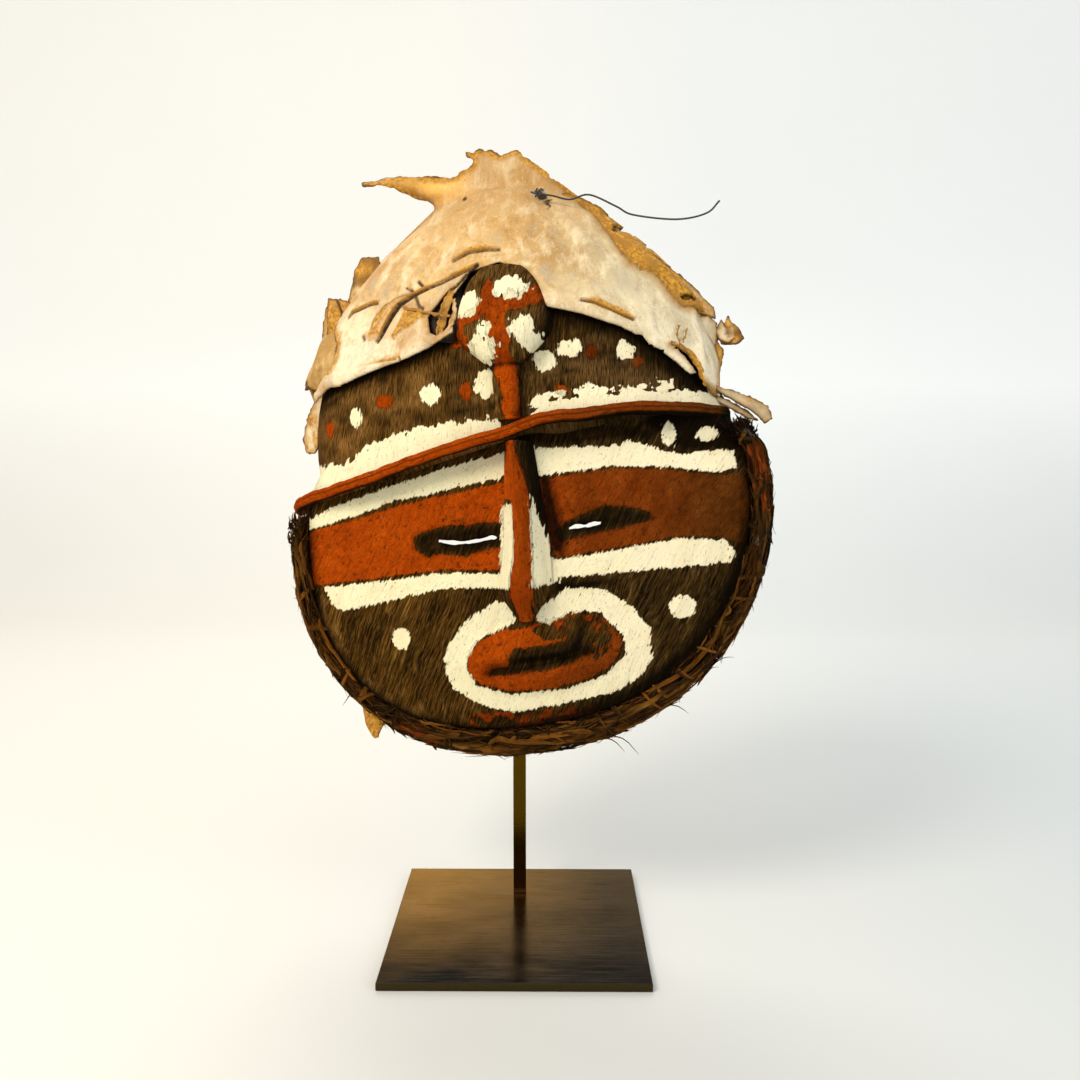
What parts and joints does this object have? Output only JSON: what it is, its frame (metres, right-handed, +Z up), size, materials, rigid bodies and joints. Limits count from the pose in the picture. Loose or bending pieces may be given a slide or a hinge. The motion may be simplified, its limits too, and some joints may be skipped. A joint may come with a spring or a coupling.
{
  "type": "makishi mask",
  "caption": "Bark-cloth face mask with slit eyes, brow shelf, crest knob and torn hide cap, held up by a square bar on a flat plate.",
  "frame": {"origin": "centre of the stand plate's underside", "axes": "+Z up along the stand bar, -Y towards the viewer of the face, +X to the viewer's right"},
  "size_m": [0.2863, 0.15, 0.4686],
  "materials": {
    "stand_steel": "bronze-brown patina, satin",
    "bark_cloth": "dark fibrous bark cloth, painted chalk white and earth red",
    "red_paint": "earth red paint on bark cloth, matt",
    "hide": "stiff ivory hide, mottled tan and grey",
    "hide_dark": "golden-brown raw side of the hide",
    "wire": "dull grey iron"
  },
  "bodies": {
    "root": {"base_plate": "stand_steel", "stand_rod": "stand_steel", "face_panel": "bark_cloth", "rim_hoop": "bark_cloth", "nose_ridge": "red_paint", "brow_roll": "red_paint", "forehead": "bark_cloth", "crest_knob": "red_paint", "hide_cap": "hide", "hide_back": "hide_dark", "rim_scrap": "hide_dark", "tie_wire": "wire"}
  },
  "joints": []
}
